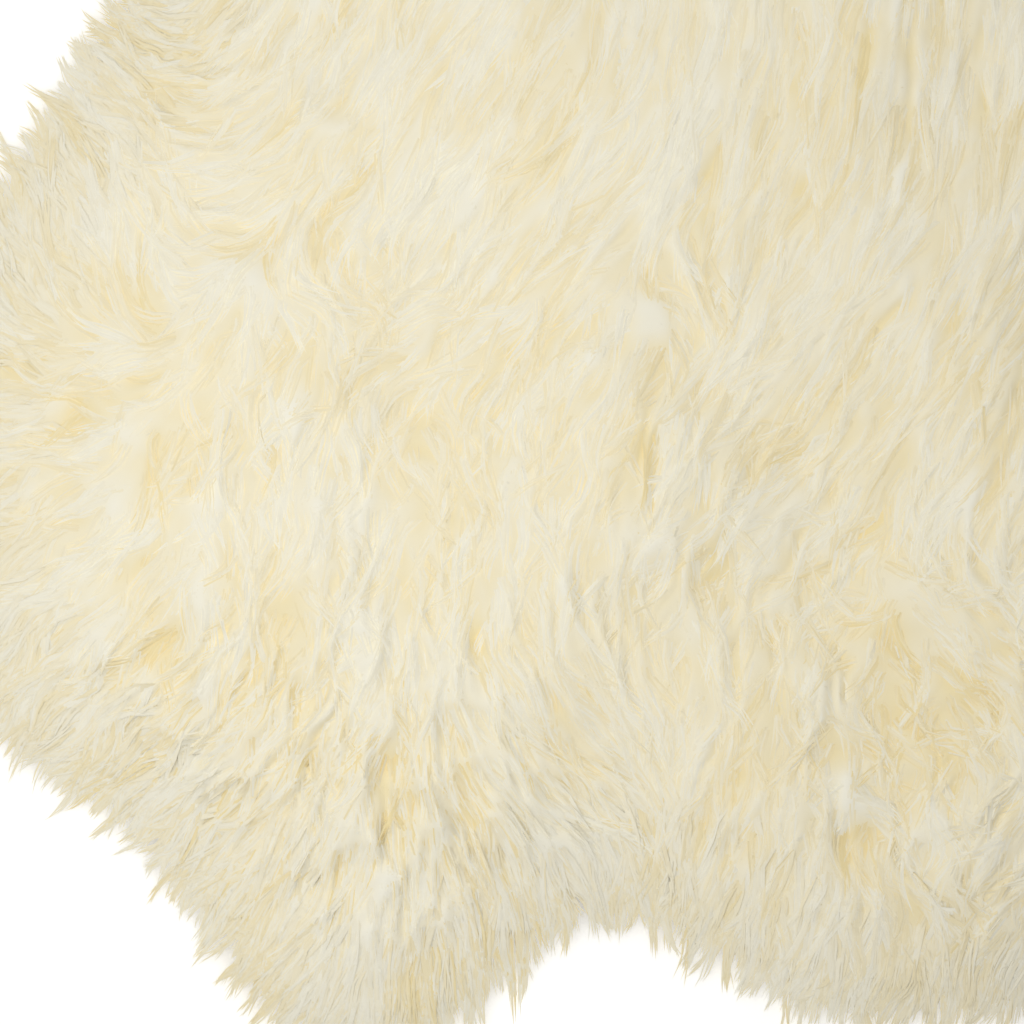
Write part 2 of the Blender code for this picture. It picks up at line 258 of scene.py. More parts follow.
POCKETS = (
    Pocket("hip fan gap", -0.202, -0.280, 0.009, 0.50),
    Pocket("hip fan gap, outer", -0.245, -0.268, 0.006, 0.40),
    Pocket("side gap", -0.191, -0.203, 0.005, 0.40),
    Pocket("side gap, outer", -0.212, -0.213, 0.005, 0.25),
    Pocket("belly gap", -0.145, -0.268, 0.007, 0.35),
    Pocket("belly gap, inner", -0.122, -0.260, 0.008, 0.35),
    Pocket("belly", -0.162, -0.288, 0.015, 0.28),
    Pocket("loin hollow", -0.093, -0.301, 0.008, 0.60),
    Pocket("loin, high", -0.068, -0.225, 0.008, 0.38),
    Pocket("back speck", -0.088, -0.179, 0.004, 0.35),
    # painted shade: the crease is painted warmer, partly its own tint and partly the shade in it
    Pocket("crease", -0.040, -0.159, 0.005, 0.65),
    Pocket("crease, middle", -0.043, -0.176, 0.004, 0.40),
    Pocket("crease, low", -0.037, -0.211, 0.006, 0.65),
    Pocket("back streak", 0.004, -0.190, 0.008, 0.28),
    Pocket("croup gap", -0.037, -0.286, 0.006, 0.32),
    Pocket("croup gap, far", -0.010, -0.301, 0.008, 0.35),
    Pocket("croup streak", 0.030, -0.275, 0.007, 0.28),
    Pocket("rump gap, high", -0.068, -0.340, 0.009, 0.32),
    Pocket("rump gap", -0.032, -0.347, 0.006, 0.45),
    Pocket("rump curl", -0.010, -0.367, 0.009, 0.36),
    Pocket("rump tangle", 0.004, -0.400, 0.012, 0.38),
    Pocket("rump tangle, high", 0.015, -0.385, 0.008, 0.30),
    Pocket("rump tangle, low", 0.010, -0.414, 0.007, 0.40),
    Pocket("rump side curl", -0.014, -0.441, 0.008, 0.42),
    Pocket("rump edge", -0.028, -0.490, 0.007, 0.35),
    Pocket("rump side gap", -0.073, -0.382, 0.006, 0.32),
    Pocket("rump side streak", -0.061, -0.414, 0.006, 0.25),
    Pocket("thigh streak", -0.234, -0.427, 0.008, 0.30),
    Pocket("thigh gap", -0.261, -0.369, 0.007, 0.35),
    Pocket("hip gap", -0.223, -0.302, 0.006, 0.40),
    Pocket("haunch gap", -0.164, -0.344, 0.007, 0.25),
    Pocket("belly speck", -0.127, -0.324, 0.005, 0.25),
    Pocket("flank curl", -0.250, -0.172, 0.006, 0.28),
    Pocket("hip", -0.274, -0.252, 0.012, 0.20),
    Pocket("hip rim", -0.314, -0.270, 0.009, 0.28),
    # painted shade: the leg rim is painted warmer where the leg's tips hang over the wool and shade it
    Pocket("leg rim", -0.173, -0.488, 0.006, 0.30),
    Pocket("leg rim, right", -0.128, -0.476, 0.006, 0.22),
    Pocket("leg streak", -0.194, -0.414, 0.008, 0.25),
    Pocket("tuft, flank", -0.234, -0.243, 0.012, -0.30),
    Pocket("tuft, side", -0.162, -0.203, 0.016, -0.30),
    Pocket("tuft, rump", -0.095, -0.335, 0.010, -0.30),
    Pocket("tuft, leg", -0.180, -0.454, 0.012, -0.30),
    Pocket("tuft, haunch", -0.203, -0.341, 0.026, -0.24),
    Pocket("back", 0.000, -0.200, 0.060, 0.06),
    Pocket("tuft, far", -0.077, -0.362, 0.011, -0.15),
)

CURL_WARMTH = 0.09  # how much warmer tangled wool is than combed wool
USUAL_CURL = 0.3

# warmer and whiter patches made by chance; layer: which of the random fields sets them
Patches = namedtuple("Patches", "size warmth layer")

PATCHES = (Patches(0.035, 0.06, 2), Patches(0.012, 0.08, 3))

# where the wool's ridges are higher than elsewhere, or, where height is less than 0, lower
Strength = namedtuple("Strength", "place x y size height")

STRENGTHS = (
    Strength("leg", -0.165, -0.440, 0.055, 2.8),
    Strength("thigh", -0.250, -0.410, 0.045, 1.8),
    Strength("rump", 0.000, -0.400, 0.045, 1.1),
    Strength("back", -0.020, -0.190, 0.080, -0.4),
    Strength("side", -0.110, -0.180, 0.060, -0.3),
)

# the random hills that the ridges are drawn from; blurs: how often they are smoothed
Hills = namedtuple("Hills", "blurs height")

HILLS = (Hills(6, 0.24), Hills(2, 0.85), Hills(0, 0.65))


# --- Smooth random fields ---


def smooth_noise(x, y, size, layer):
    """A smooth random value from about -1 to 1 at each point, with hills about size across."""
    rng = np.random.default_rng(SEED + layer)
    total = np.zeros_like(x)
    for _ in range(6):
        turn = rng.uniform(0.0, 2.0 * math.pi)
        phase = rng.uniform(0.0, 2.0 * math.pi)
        pitch = size * rng.uniform(1.4, 2.8)
        total += np.sin(2.0 * math.pi * (x * math.cos(turn) + y * math.sin(turn)) / pitch + phase)
    return total / 3.0


def eased(value):
    """0 below 0 and 1 above 1, with a smooth step between."""
    value = np.clip(value, 0.0, 1.0)
    return value * value * (3.0 - 2.0 * value)


# --- The pelt's ground ---


def scattered(ground, spacing, stray, rng):
    """Points over the pelt, evenly spread but for chance. stray: in spacings, to either side."""
    x, y = np.meshgrid(
        np.arange(ground.low[0], ground.high[0], spacing),
        np.arange(ground.low[1], ground.high[1], spacing),
    )
    x = x.ravel() + rng.uniform(-stray, stray, x.size) * spacing
    return x, y.ravel() + rng.uniform(-stray, stray, y.size) * spacing


def blurred(grid):
    """Each value averaged with its neighbours."""
    padded = np.pad(grid, 1, mode="edge")
    rows = padded[:-2] + 2.0 * padded[1:-1] + padded[2:]
    return (rows[:, :-2] + 2.0 * rows[:, 1:-1] + rows[:, 2:]) / 16.0


class Grids:
    """Grids of values over the pelt and a margin round it."""

    def __init__(self, low, high, cell):
        self.low = low
        self.high = high
        self.cell = cell
        columns, rows = np.ceil((high - low) / cell).astype(int) + 1
        x = low[0] + cell * np.arange(columns)
        self.x, self.y = np.meshgrid(x, low[1] + cell * np.arange(rows))

    def sample(self, grid, x, y):
        """The grid's value at each point, read between its four nearest grid points."""
        column = np.clip((x - self.low[0]) / self.cell, 0, grid.shape[1] - 1.001)
        row = np.clip((y - self.low[1]) / self.cell, 0, grid.shape[0] - 1.001)
        i, j = row.astype(int), column.astype(int)
        v, u = row - i, column - j
        near = grid[i, j] * (1 - u) + grid[i, j + 1] * u
        far = grid[i + 1, j] * (1 - u) + grid[i + 1, j + 1] * u
        return near * (1 - v) + far * v


class Ground(Grids):
    """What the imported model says: the way in from the rim and the depth of wool."""

    def __init__(self, node):
        points = np.array([v.co for v in node.data.vertices])
        low = points[:, :2].min(axis=0) - GRID_MARGIN
        super().__init__(low, points[:, :2].max(axis=0) + GRID_MARGIN, GRID_CELL)
        self.rim = self.ring(points)
        self.inward = self.way_in()
        self.depth = self.wool_depth(node)
        self.slope_y, self.slope_x = np.gradient(self.inward, GRID_CELL)
        self.climb_y, self.climb_x = np.gradient(self.depth, GRID_CELL)

    def ring(self, points):
        """The top corners of the slab's rim, in order round the pelt."""
        corners = np.unique(points[np.abs(points[:, 2] - RIM_HEIGHT) < 1e-5].round(5), axis=0)
        turn = np.arctan2(corners[:, 1], corners[:, 0])
        return corners[np.argsort(turn), :2]

    def way_in(self):
        """The distance of each grid point from the rim: more than 0 on the slab, less outside."""
        after = np.roll(self.rim, -1, axis=0)
        shares = np.linspace(0.0, 1.0, 4, endpoint=False)
        fine = np.concatenate([self.rim + (after - self.rim) * share for share in shares])
        flat = np.stack([self.x.ravel(), self.y.ravel()], axis=1)
        nearest = np.full(len(flat), 1e9)
        for start in range(0, len(fine), 64):
            part = fine[start : start + 64]
            away = np.linalg.norm(flat[:, None, :] - part[None, :, :], axis=2)
            nearest = np.minimum(nearest, away.min(axis=1))
        turn = np.arctan2(self.rim[:, 1], self.rim[:, 0])
        reach = np.hypot(self.rim[:, 0], self.rim[:, 1])
        limit = np.interp(np.arctan2(flat[:, 1], flat[:, 0]), turn, reach, period=2.0 * math.pi)
        sign = np.where(np.hypot(flat[:, 0], flat[:, 1]) < limit, 1.0, -1.0)
        return (nearest * sign).reshape(self.x.shape)

    def wool_depth(self, node):
        """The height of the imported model's wool at each grid point, drawn on past its rim."""
        mesh = node.data
        tree = BVHTree.FromPolygons([v.co for v in mesh.vertices], [p.vertices for p in mesh.polygons])
        depth = np.zeros(self.x.shape)
        down = Vector((0.0, 0.0, -1.0))
        for row, column in np.argwhere(self.inward > 0.0):
            hit = tree.ray_cast(Vector((self.x[row, column], self.y[row, column], 1.0)), down)[0]
            depth[row, column] = hit.z if hit else RIM_HEIGHT
        past_rim = RIM_HEIGHT * np.clip(1.0 + self.inward / FRINGE_FALL, 0.12, 1.0)
        depth = np.where(self.inward > 0.0, np.maximum(depth, RIM_HEIGHT), past_rim)
        for _ in range(3):
            depth = blurred(depth)
        lumps = LUMP_HEIGHT * smooth_noise(self.x, self.y, LUMP_SIZE, 6)
        lumps -= POCKET_DEPTH * pocket_warmth(self.x, self.y)
        return depth + lumps * eased(self.inward / RIM_BAND)


# --- The wool at each point ---


def hold(place, x, y, fall=1.0):
    """How strongly a place from a table holds at each point, which is 1 at the place itself."""
    return np.exp(-fall * (((x - place.x) ** 2 + (y - place.y) ** 2) / place.size**2))


def lie(ground, x, y):
    """(heading, curl) of the wool at each point; the heading is an angle in radians."""
    outward_x = -ground.sample(ground.slope_x, x, y)
    outward_y = -ground.sample(ground.slope_y, x, y)
    inward = ground.sample(ground.inward, x, y)
    ux = SPREAD * (x - SPREAD_FROM)
    uy = -np.ones_like(x)
    turn = WANDER * smooth_noise(x, y, WANDER_LENGTH, 1)
    ux, uy = ux * np.cos(turn) - uy * np.sin(turn), ux * np.sin(turn) + uy * np.cos(turn)
    at_rim = RIM_PULL * eased(1.0 - inward / RIM_PULL_WIDTH)
    ux, uy = ux + at_rim * outward_x, uy + at_rim * outward_y
    length = np.hypot(ux, uy) + 1e-9
    ux, uy = COMBED_WEIGHT * ux / length, COMBED_WEIGHT * uy / length
    curl = np.full_like(x, COMBED_WEIGHT * COMBED_CURL)
    total = np.full_like(x, COMBED_WEIGHT)
    for sweep in SWEEPS:
        pull = hold(sweep, x, y, 0.5)
        ux += pull * math.cos(math.radians(sweep.heading))
        uy += pull * math.sin(math.radians(sweep.heading))
        curl += pull * sweep.curl
        total += pull
    curl = curl / total
    wave = WAVE_LEAST + (WAVE_MOST - WAVE_LEAST) * curl
    return np.arctan2(uy, ux) + wave * smooth_noise(x, y, WAVE_LENGTH, 4), curl


def pocket_warmth(x, y):
    """How much warmer than elsewhere the wool is painted at each point: partly its own colour, partly
    painted warm shade in the pockets.
    """
    return sum(pocket.warmth * hold(pocket, x, y) for pocket in POCKETS)


def strength_there(x, y):
    """How high the wool's ridges are at each point, 1 where nothing is said."""
    return sum((place.height * hold(place, x, y) for place in STRENGTHS), start=1.0)


def nearness(x, y):
    """1 in the quarter that the camera sees close up, falling to 0 well away from it."""
    away = np.maximum(np.abs(x - VIEW_CENTRE[0]), np.abs(y - VIEW_CENTRE[1]))
    return eased(1.0 - (away - NEAR_REACH) / NEAR_FADE)


def warmth_there(x, y, curl):
    """How much warmer or whiter than elsewhere the wool is at each point, with the pockets' painted
    warm shade.
    """
    warmth = sum(p.warmth * smooth_noise(x, y, p.size, p.layer) for p in PATCHES)
    return warmth + CURL_WARMTH * (curl - USUAL_CURL) + pocket_warmth(x, y)


# --- The mass of wool ---


class Mass(Grids):
    """The wool's soft surface, in ridges that run along its lie and end steeply, as locks do."""

    def __init__(self, ground):
        super().__init__(ground.low, ground.high, FINE_CELL)
        self.ground = ground
        heading, curl = lie(ground, ground.x.ravel(), ground.y.ravel())
        along_x = np.cos(heading).reshape(ground.x.shape)
        along_y = np.sin(heading).reshape(ground.x.shape)
        ridges = self.ridges(along_x, along_y)
        inward = ground.sample(ground.inward, self.x, self.y)
        strength = strength_there(self.x, self.y)
        self.relief = RIDGE_HEIGHT * strength * ridges * eased(inward / RIM_BAND)
        climb_y, climb_x = np.gradient(self.relief, FINE_CELL)
        wide_x = ground.sample(ground.climb_x, self.x, self.y)
        wide_y = ground.sample(ground.climb_y, self.x, self.y)
        self.slope_x, self.slope_y = climb_x + wide_x, climb_y + wide_y
        self.climb_x, self.climb_y = climb_x + SOFTENED * wide_x, climb_y + SOFTENED * wide_y
        curl = ground.sample(curl.reshape(ground.x.shape), self.x, self.y)
        # painted light and shade: whiter on the ridges, warmer between them
        self.warmth = warmth_there(self.x, self.y, curl) - RIDGE_LIGHT_AND_SHADE * ridges

    def seeds(self):
        """Random hills of the sizes in HILLS, about 1 high."""
        rng = np.random.default_rng(SEED + 30)
        total = np.zeros_like(self.x)
        for kind in HILLS:
            hills = rng.normal(0.0, 1.0, self.x.shape)
            for _ in range(kind.blurs):
                hills = blurred(hills)
            total += kind.height * hills / hills.std()
        return total

    def ridges(self, along_x, along_y):
        """The seeds drawn out along the lie of the wool, rising towards their points."""
        seeds = self.seeds()
        x, y = self.x, self.y
        count = round(RIDGE_LENGTH / FINE_CELL)
        total = np.zeros_like(x)
        for step in range(count):
            share = (step + 0.5) / count
            rise = share * eased((1.0 - share) / RIDGE_END)
            total += rise * self.sample(seeds, x, y)
            along = self.ground.sample(along_x, x, y), self.ground.sample(along_y, x, y)
            length = np.hypot(*along) + 1e-9
            x = x - FINE_CELL * along[0] / length
            y = y - FINE_CELL * along[1] / length
        total -= total.mean()
        return total / total.std()

    def outward(self, x, y):
        """The way the surface faces at each point, for its shading."""
        climb_x, climb_y = self.sample(self.climb_x, x, y), self.sample(self.climb_y, x, y)
        return np.stack([-climb_x, -climb_y, np.ones_like(x)], axis=-1)


# --- Tufts and locks ---


class Tufts:
    """The places where locks draw together."""

    def __init__(self, ground, spacing):
        rng = np.random.default_rng(SEED + 20)
        self.x, self.y = scattered(ground, spacing, TUFT_STRAY, rng)
        count = len(self.x)
        self.lift = TUFT_LIFT * rng.normal(0.0, 1.0, count)
        self.warmth = TUFT_WARMTH * rng.normal(0.0, 1.0, count)
        self.tree = KDTree(count)
        for i in range(count):
            self.tree.insert((self.x[i], self.y[i], 0.0), i)
        self.tree.balance()

    def nearest(self, x, y, heading):
        """The tuft that each lock belongs to, and how far to its left the lock lies."""
        close = [[i for _, i, _ in self.tree.find_n((px, py, 0.0), 6)] for px, py in zip(x, y)]
        close = np.array(close).T
        away_x, away_y = x - self.x[close], y - self.y[close]
        ahead = away_x * np.cos(heading) + away_y * np.sin(heading)
        aside = away_y * np.cos(heading) - away_x * np.sin(heading)
        best = np.argmin((TUFT_STRETCH * ahead) ** 2 + aside**2, axis=0)
        lock = np.arange(len(x))
        return close[best, lock], aside[best, lock]


class Locks:
    """The centre lines of one layer's locks, and what sets each of them apart."""

    def __init__(self, mass, tufts, layer, rng):
        ground = mass.ground
        self.mass = mass
        self.ground = ground
        self.layer = layer
        x, y = self.middles(rng)
        self.reach = np.clip(rng.normal(layer.reach, layer.wisp, len(x)), 0.001, LONGEST_REACH)
        heading, curl = lie(ground, x, y)
        length = layer.length * rng.uniform(0.75, 1.25, len(x)) * (1.0 - 0.25 * curl)
        turn = rng.normal(0.0, 0.05 + 0.25 * curl)
        bend = rng.normal(0.0, 0.10 + 0.70 * curl)
        xs, ys = self.traced(x, y, heading, turn, bend, length)
        rooted = ground.sample(ground.inward, xs[0], ys[0]) > ROOT_MARGIN
        kept = rooted & (ground.sample(ground.inward, x, y) > -MIDDLE_REACH * self.reach)
        self.x, self.y = xs[:, kept], ys[:, kept]
        self.count = int(kept.sum())
        self.near = nearness(x[kept], y[kept])
        self.widen = 1.0 / np.sqrt(self.kept_share(x[kept], y[kept]))
        tuft, self.aside = tufts.nearest(self.x[VISIBLE], self.y[VISIBLE], self.heading_there())
        self.above = layer.height + layer.lift * rng.normal(0.0, 1.0, self.count) + tufts.lift[tuft]
        chance = rng.normal(0.0, TONE_CHANCE, self.count)
        # there carries the ridges' painted light and shade, and the pockets' painted warm shade
        self.there = mass.sample(mass.warmth, self.x[VISIBLE], self.y[VISIBLE])
        proud = rng.uniform(size=self.count) < PROUD_SHARE
        self.above += PROUD_HEIGHT * proud
        self.tone = layer.warmth + self.there + tufts.warmth[tuft] + chance - PROUD_PAINTED_LIGHT * proud

    def heading_there(self):
        """The way each lock points where it shows most."""
        before, after = VISIBLE - 1, VISIBLE + 1
        return np.arctan2(self.y[after] - self.y[before], self.x[after] - self.x[before])

    def kept_share(self, x, y):
        """The share of locks kept at each point, which is 1 in the near quarter."""
        return self.layer.share + (1.0 - self.layer.share) * nearness(x, y)

    def middles(self, rng):
        """A point for the middle of each lock, evenly spread but for chance."""
        x, y = scattered(self.ground, self.layer.spacing, LOCK_STRAY, rng)
        inward = self.ground.sample(self.ground.inward, x, y)
        on_pelt = (inward > -MIDDLE_REACH * LONGEST_REACH) & (inward < self.layer.within)
        chosen = on_pelt & (rng.uniform(size=x.size) < self.kept_share(x, y))
        return x[chosen], y[chosen]

    def traced(self, x, y, heading, turn, bend, length):
        """Centre lines through the middles, along the lie of the wool both ways."""
        span = length / (len(SECTIONS) - 1)
        back = self.steps(x, y, heading, turn, -0.5 * bend, -span, MIDDLE)
        ahead = len(SECTIONS) - 1 - MIDDLE
        for _ in range(3):
            on = self.steps(x, y, heading, turn, 0.5 * bend, span, ahead)
            past = -self.ground.sample(self.ground.inward, *on[-1]) - self.reach
            over = np.maximum(past, 0.0) / (0.5 * length)
            span = span * np.clip(1.0 - over, 0.15, 1.0)
        points = back[::-1] + [(x, y)] + on
        return np.array([p[0] for p in points]), np.array([p[1] for p in points])

    def steps(self, x, y, heading, turn, bend, span, count):
        """The next points, on or back along the wool from the middles."""
        points = []
        heading = heading + turn
        for _ in range(count):
            wanted = lie(self.ground, x, y)[0] + turn + bend
            change = (wanted - heading + math.pi) % (2.0 * math.pi) - math.pi
            heading = heading + np.clip(change, -SHARPEST_TURN, SHARPEST_TURN)
            x = x + span * np.cos(heading)
            y = y + span * np.sin(heading)
            points.append((x, y))
        return points


# --- Meshes and ribbons ---


def mesh_of(name, points, corners, starts):
    """A mesh from its points, its faces' corners in a row, and where in that row each face starts."""
    mesh = bpy.data.meshes.new(name)
    mesh.vertices.add(len(points))
    mesh.vertices.foreach_set("co", points.astype(np.float32).ravel())
    mesh.loops.add(len(corners))
    mesh.loops.foreach_set("vertex_index", corners.astype(np.int32))
    mesh.polygons.add(len(starts))
    mesh.polygons.foreach_set("loop_start", starts.astype(np.int32))
    mesh.polygons.foreach_set("use_smooth", np.ones(len(starts), bool))
    return mesh


def shaded(mesh, normals):
    """The finished mesh, shaded by those normals."""
    mesh.update(calc_edges=True)
    mesh.validate()
    mesh.normals_split_custom_set_from_vertices(normals)
    return mesh


def between_sections(values, at):
    """The values of each lock at a share of its length, from the values at its sections."""
    place = at * (len(values) - 1)
    i = np.clip(place.astype(int), 0, len(values) - 2)
    lock = np.arange(values.shape[1])
    share = place - i
    return values[i, lock] * (1.0 - share) + values[i + 1, lock] * share


def lock_lines(locks, which, at, across, above):
    """3-D lines along the chosen locks, the way each lies sideways, and the wool's own slope."""
    x = between_sections(locks.x[:, which], at)
    y = between_sections(locks.y[:, which], at)
    run_x, run_y = np.gradient(x, axis=0), np.gradient(y, axis=0)
    run = np.hypot(run_x, run_y) + 1e-9
    side_x, side_y = -run_y / run, run_x / run
    across = across - TUFT_GATHER * locks.aside[which] * at**2
    x = x + side_x * across
    y = y + side_y * across
    ground = locks.ground
    depth = ground.sample(ground.depth, x, y)
    root_x, root_y = locks.x[0, which], locks.y[0, which]
    sunk = ROOT_SHARE * eased(ground.sample(ground.inward, root_x, root_y) / RIM_BAND)
    rise = np.interp(at, PLACES, [s.rise for s in SECTIONS])
    z = SKIN_THICKNESS + (depth - SKIN_THICKNESS) * (sunk + (1.0 - sunk) * rise)
    z = z + (locks.above[which] + above) * rise * np.clip(depth / DEEP_WOOL, 0.25, 1.0)
    mass = locks.mass
    z = z + mass.sample(mass.relief, x, y) * rise
    line = np.stack([x, y, np.maximum(z, LEAST_HEIGHT)], axis=2)
    side_z = side_x * mass.sample(mass.slope_x, x, y) + side_y * mass.sample(mass.slope_y, x, y)
    side = np.stack([side_x, side_y, side_z], axis=2)
    return line, side, mass.outward(x, y)


def lock_width(at):
    """The share of a lock's full width at each share of its length."""
    return np.interp(at, PLACES, [s.width for s in SECTIONS])


def lock_mesh(name, locks, share, rng):
    """The bodies of the locks near the rim, as ribbons that take up that share of their width."""
    ground = locks.ground
    at_rim = ground.sample(ground.inward, locks.x[VISIBLE], locks.y[VISIBLE]) < RIM_BAND
    chosen = np.flatnonzero(at_rim)
    count = len(chosen)
    at = np.repeat(PLACES[:, None], count, axis=1)
    line, side, outward = lock_lines(locks, chosen, at, np.zeros(count), np.zeros(count))
    full = share * locks.layer.width * locks.widen[chosen] * rng.uniform(0.6, 1.35, count)
    half = 0.5 * full * lock_width(at)
    roll = rng.normal(0.0, BODY_ROLL, count)
    edges = []
    normals = []
    for place in (-1.0, 1.0):
        edge = line + side * (place * half)[..., None]
        edge[..., 2] += half * place * roll
        edges.append(edge)
        normals.append(outward + side * (LOCK_TILT * place - roll)[..., None])
    return ribbon_mesh(name, edges, normals, at, locks.tone[chosen], rng, 0.47)


def strand_mesh(name, locks, chosen, rng):
    """Fine strands that lie along the locks and draw together towards their points."""
    number = locks.layer.strands * (STRANDS_FAR + (1.0 - STRANDS_FAR) * locks.near[chosen])
    which = np.repeat(chosen, np.floor(number + rng.uniform(size=len(chosen))).astype(int))
    count = len(which)
    at = np.array([p.along for p in STRAND_POINTS])[:, None] * rng.uniform(0.84, 1.05, count)
    place = rng.uniform(-1.0, 1.0, count)
    half = 0.5 * locks.layer.width * locks.widen[which]
    stray = STRAND_STRAY * rng.normal(0.0, 1.0, count) * at**2
    phase = 2.0 * math.pi * rng.uniform(size=count)
    wave = STRAND_WAVE * np.sin(2.0 * math.pi * at * rng.uniform(0.8, 1.8, count) + phase)
    across = place * half * (0.15 + 0.85 * lock_width(at)) + stray + wave
    above = rng.uniform(*STRAND_RISE, count)
    line, side, outward = lock_lines(locks, which, at, across, above)
    width = np.array([p.width for p in STRAND_POINTS])[:, None]
    widen = locks.widen[which] * (1.0 + 0.6 * (1.0 - locks.near[which]))
    half = 0.5 * STRAND_WIDTH * width * widen * rng.uniform(0.7, 1.4, count)
    roll = rng.normal(0.0, STRAND_ROLL, count)
    edges = [line - side * half[..., None], line + side * half[..., None]]
    normal = outward + side * (LOCK_TILT * place - roll)[:, None]
    painted_light = np.where(rng.uniform(size=count) < BRIGHT_SHARE, BRIGHT_PAINTED_LIGHT, 0.0)
    x, y = line[STRAND_MIDDLE, :, 0], line[STRAND_MIDDLE, :, 1]
    higher = np.maximum(strength_there(x, y) - 1.0, 0.0)
    variety = STRAND_LEAST_VARIETY + STRAND_VARIETY * higher
    chance = variety * rng.normal(0.0, 1.0, count)
    # the strand takes the ridges' painted light and shade at its own middle
    there = locks.mass.sample(locks.mass.warmth, x, y)
    tone = locks.tone[which] - locks.there[which] + there - painted_light + chance
    return ribbon_mesh(name, edges, [normal, normal], at, tone, rng, 0.03)


def ribbon_mesh(name, edges, normals, at, tone, rng, reach):
    """A mesh of ribbons from their right and left edges, which meet in a point. reach is how much of
    its tone's stripe in the wool's UV map each takes up, to either side of the stripe's middle."""
    rows, count = edges[0].shape[:2]
    per = 2 * rows - 1
    points = np.empty((count, per, 3), np.float32)
    facing = np.empty((count, per, 3), np.float32)
    uv = np.empty((count, per, 2), np.float32)
    tone = tone + rng.normal(0.0, TONE_CHANCE, count)
    step = np.clip(tone * TONES, 0.0, TONES - 1.0).astype(int)
    for i, (edge, normal) in enumerate(zip(edges, normals)):
        share = 0.5 + reach * (2.0 * i - 1.0)
        body = slice(i, per - 1, 2)
        points[:, body] = edge[:-1].transpose(1, 0, 2)
        facing[:, body] = normal[:-1].transpose(1, 0, 2)
        uv[:, body, 0] = ((step + share) / TONES)[:, None]
        uv[:, body, 1] = np.clip(at[:-1].T, 0.0, 1.0)
    points[:, -1] = 0.5 * (edges[0][-1] + edges[-1][-1])
    facing[:, -1] = 0.5 * (normals[0][-1] + normals[-1][-1])
    uv[:, -1, 0] = (step + 0.5) / TONES
    uv[:, -1, 1] = 1.0
    facing /= np.linalg.norm(facing, axis=2, keepdims=True)

    corners = []
    starts = []
    for here in range(0, per - 3, 2):
        starts.append(len(corners))
        corners += [here, here + 2, here + 3, here + 1]
    starts.append(len(corners))
    corners += [per - 3, per - 1, per - 2]
    ribbons = np.arange(count)[:, None]
    loops = (np.array(corners)[None, :] + ribbons * per).ravel()
    loop_starts = (np.array(starts)[None, :] + ribbons * len(corners)).ravel()

    mesh = mesh_of(name, points.reshape(-1, 3), loops, loop_starts)
    layer = mesh.uv_layers.new(name="OFBake")
    layer.data.foreach_set("uv", uv.reshape(-1, 2)[loops].ravel())
    return shaded(mesh, facing.reshape(-1, 3))


# --- Materials ---

FIBRES_ACROSS = 9.0  # how fine the fibres' noise is across a lock
FIBRES_ALONG = 3.0  # and along it
FIBRE_STEP = 13.7  # how far apart the stripes of two tones lie in that noise


def set_inputs(node, values):
    """Sets the node's inputs by name."""
    for name, value in values.items():
        node.inputs[name].default_value = value


class Nodes:
    """Short ways to add nodes to a material and join them."""

    def __init__(self, material):
        self.tree = material.node_tree

    def add(self, kind, **settings):
        node = self.tree.nodes.new(kind)
        for name, value in settings.items():
            setattr(node, name, value)
        return node

    def join(self, output, socket):
        self.tree.links.new(output, socket)

    def math(self, operation, first, second=0.0):
        node = self.add("ShaderNodeMath", operation=operation)
        for socket, value in zip(node.inputs, (first, second)):
            if isinstance(value, bpy.types.NodeSocket):
                self.join(value, socket)
            else:
                socket.default_value = value
        return node.outputs[0]

    def ramp(self, value, *stops):
        node = self.add("ShaderNodeValToRGB")
        self.join(value, node.inputs["Fac"])
        elements = node.color_ramp.elements
        while len(elements) < len(stops):
            elements.new(1.0)
        for element, (position, colour) in zip(elements, stops):
            element.position = position
            element.color = (*colour, 1.0)
        return node.outputs["Color"]

    def noise(self, place, scale, detail):
        node = self.add("ShaderNodeTexNoise")
        set_inputs(node, {"Scale": scale, "Detail": detail})
        self.join(place, node.inputs["Vector"])
        return node.outputs["Fac"]

    def multiply(self, first, second):
        node = self.add("ShaderNodeMix", data_type="RGBA", blend_type="MULTIPLY")
        node.inputs[0].default_value = 1.0
        self.join(first, node.inputs[6])
        self.join(second, node.inputs[7])
        return node.outputs[2]


def new_material(name):
    """A material, its Principled shader and its nodes."""
    material = bpy.data.materials.new(name)
    material.use_nodes = True
    return material, material.node_tree.nodes["Principled BSDF"], Nodes(material)


def soft_sheen(shader):
    """The wool's dull gloss."""
    set_inputs(shader, {"Roughness": 0.60, "Specular IOR Level": 0.22})
    set_inputs(shader, {"Sheen Weight": 0.15, "Sheen Roughness": 0.5})


